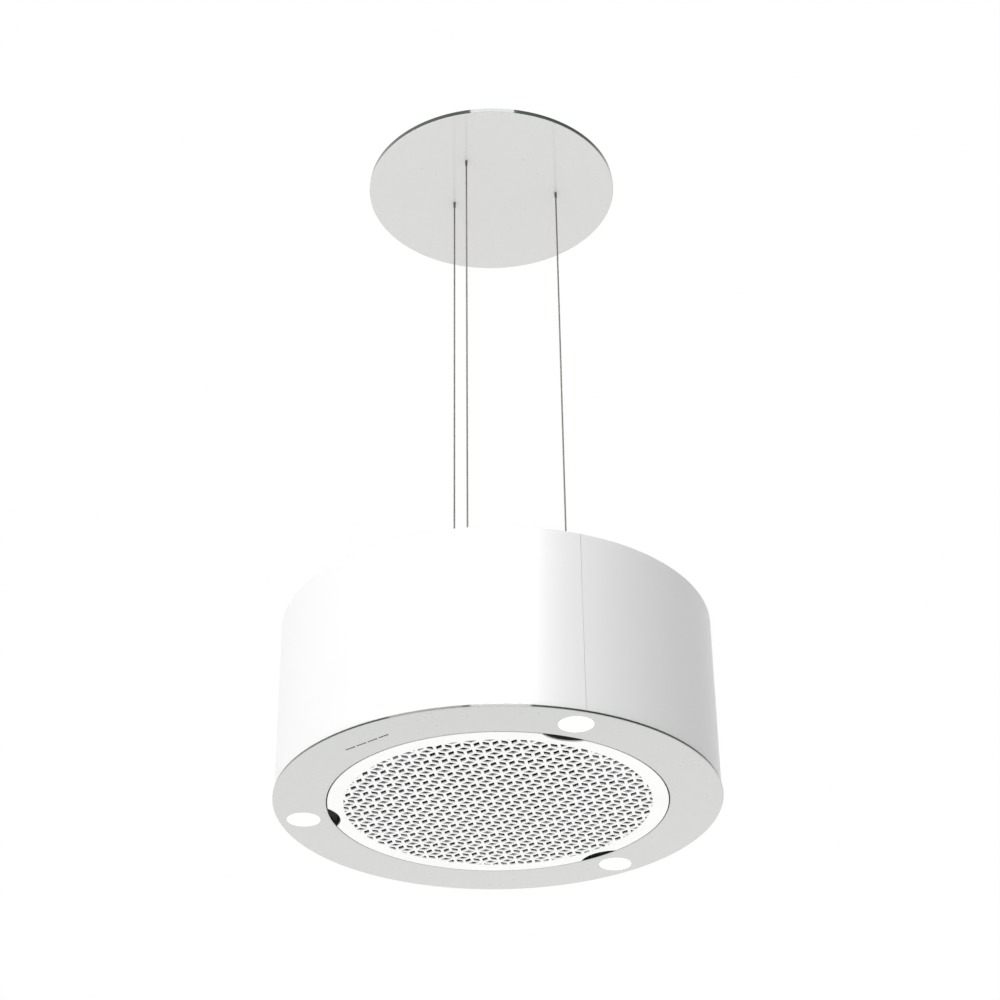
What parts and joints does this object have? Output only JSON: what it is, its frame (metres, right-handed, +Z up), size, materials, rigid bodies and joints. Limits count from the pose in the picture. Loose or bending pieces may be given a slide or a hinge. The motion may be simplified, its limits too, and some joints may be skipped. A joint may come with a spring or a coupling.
{
  "type": "island range hood",
  "caption": "Round ceiling-hung recirculating range hood: white drum, glass ring with lamps, perforated inlet panel, filters and blower inside.",
  "frame": {"origin": "centre of the ceiling plate's upper face, where it meets the ceiling", "axes": "+Z up towards the ceiling, the hood hangs along -Z; the printed controls are on the ring towards -X -Y"},
  "size_m": [0.5999, 0.6, 1.0601],
  "materials": {
    "zinc_steel": "galvanised sheet",
    "black_rubber": "matt",
    "satin_glass": "satin grey painted back, dark green polished edge",
    "dark_nickel": "dark plated",
    "cable_steel": "stranded wire rope",
    "nickel": "bright plated",
    "plunger_brass": "turned brass",
    "gloss_white": "high gloss white",
    "powder_white": "smooth white powder coat",
    "tape": "foam tape",
    "mark_ink": "dark print",
    "lamp_diffuser": "opal diffuser",
    "cast_alu": "die cast",
    "circuit_board": "green solder mask",
    "dark_plastic": "moulded",
    "magnet": "dark grey",
    "filter_alu": "expanded and rolled",
    "charcoal": "granules",
    "grey_plastic": "moulded",
    "shaft_steel": "ground",
    "can_white": "smooth",
    "box_white": "moulded",
    "wire_black": "sleeved"
  },
  "bodies": {
    "ceiling_mount": {"ceiling_plate": "zinc_steel", "canopy_spacer": "black_rubber", "canopy_glass": "satin_glass", "cable_sleeves": "dark_nickel", "cable_1": "cable_steel", "cable_2": "cable_steel", "cable_3": "cable_steel"},
    "hood": {"gripper_1": "nickel", "gripper_2": "nickel", "gripper_3": "nickel", "gripper_nuts": "nickel", "drum_panel_1": "gloss_white", "drum_panel_2": "gloss_white", "drum_panel_3": "gloss_white", "seam_strips": "zinc_steel", "glass_ring": "satin_glass", "bonding_tape": "tape", "base_tray": "zinc_steel", "control_marks": "mark_ink", "lamp_lens_1": "lamp_diffuser", "lamp_lens_2": "lamp_diffuser", "lamp_lens_3": "lamp_diffuser", "lamp_gaskets": "black_rubber", "lamp_housing_1": "cast_alu", "lamp_housing_2": "cast_alu", "lamp_housing_3": "cast_alu", "led_boards": "circuit_board", "chassis_posts": "zinc_steel", "hanger_plate": "zinc_steel", "top_cover": "powder_white", "cover_screws": "nickel", "cord_gland": "dark_plastic", "catch_magnets": "magnet", "suction_collar": "zinc_steel", "blower_deck": "zinc_steel", "inlet_ring": "grey_plastic", "scroll_housing": "grey_plastic", "scroll_lid": "zinc_steel", "outlet_elbow": "grey_plastic", "motor": "cast_alu", "motor_mounts": "black_rubber", "capacitor": "can_white", "control_box": "box_white", "control_lid": "box_white", "control_board": "circuit_board", "touch_board": "circuit_board", "led_driver": "box_white", "wiring_loom": "wire_black"},
    "panel": {"perforated_panel": "powder_white", "finger_cups": "dark_plastic"},
    "grease_filter": {"filter_frame": "filter_alu", "filter_mesh": "filter_alu", "filter_handle": "filter_alu"},
    "charcoal_cartridge": {"charcoal_case": "dark_plastic", "charcoal_core": "charcoal"},
    "blower_wheel": {"impeller": "cast_alu", "motor_shaft": "shaft_steel"},
    "plunger_1": {"gripper_plunger_1": "plunger_brass"},
    "plunger_2": {"gripper_plunger_2": "plunger_brass"},
    "plunger_3": {"gripper_plunger_3": "plunger_brass"}
  },
  "joints": [
    {"name": "height_adjust", "type": "slide", "parent": "ceiling_mount", "child": "hood", "axis": [0, 0, 1], "range_m": [-0.035, 0.04]},
    {"name": "panel_release", "type": "slide", "parent": "hood", "child": "panel", "axis": [0, 0, -1], "range_m": [0, 0.1]},
    {"name": "filter_lift_out", "type": "slide", "parent": "panel", "child": "grease_filter", "axis": [0, 0, 1], "range_m": [0, 0.016]},
    {"name": "charcoal_twist", "type": "hinge", "parent": "hood", "child": "charcoal_cartridge", "pos_m": [0, 0, -1.01], "axis": [0, 0, 1], "range_deg": [0, 40]},
    {"name": "impeller_spin", "type": "hinge", "parent": "hood", "child": "blower_wheel", "pos_m": [0, 0, -0.95], "axis": [0, 0, 1], "continuous": true},
    {"name": "plunger_1_press", "type": "slide", "parent": "hood", "child": "plunger_1", "axis": [0, 0, -1], "range_m": [0, 0.0025], "stiffness_N_per_m": 400, "springref_m": -0.001},
    {"name": "plunger_2_press", "type": "slide", "parent": "hood", "child": "plunger_2", "axis": [0, 0, -1], "range_m": [0, 0.0025], "stiffness_N_per_m": 400, "springref_m": -0.001},
    {"name": "plunger_3_press", "type": "slide", "parent": "hood", "child": "plunger_3", "axis": [0, 0, -1], "range_m": [0, 0.0025], "stiffness_N_per_m": 400, "springref_m": -0.001}
  ]
}
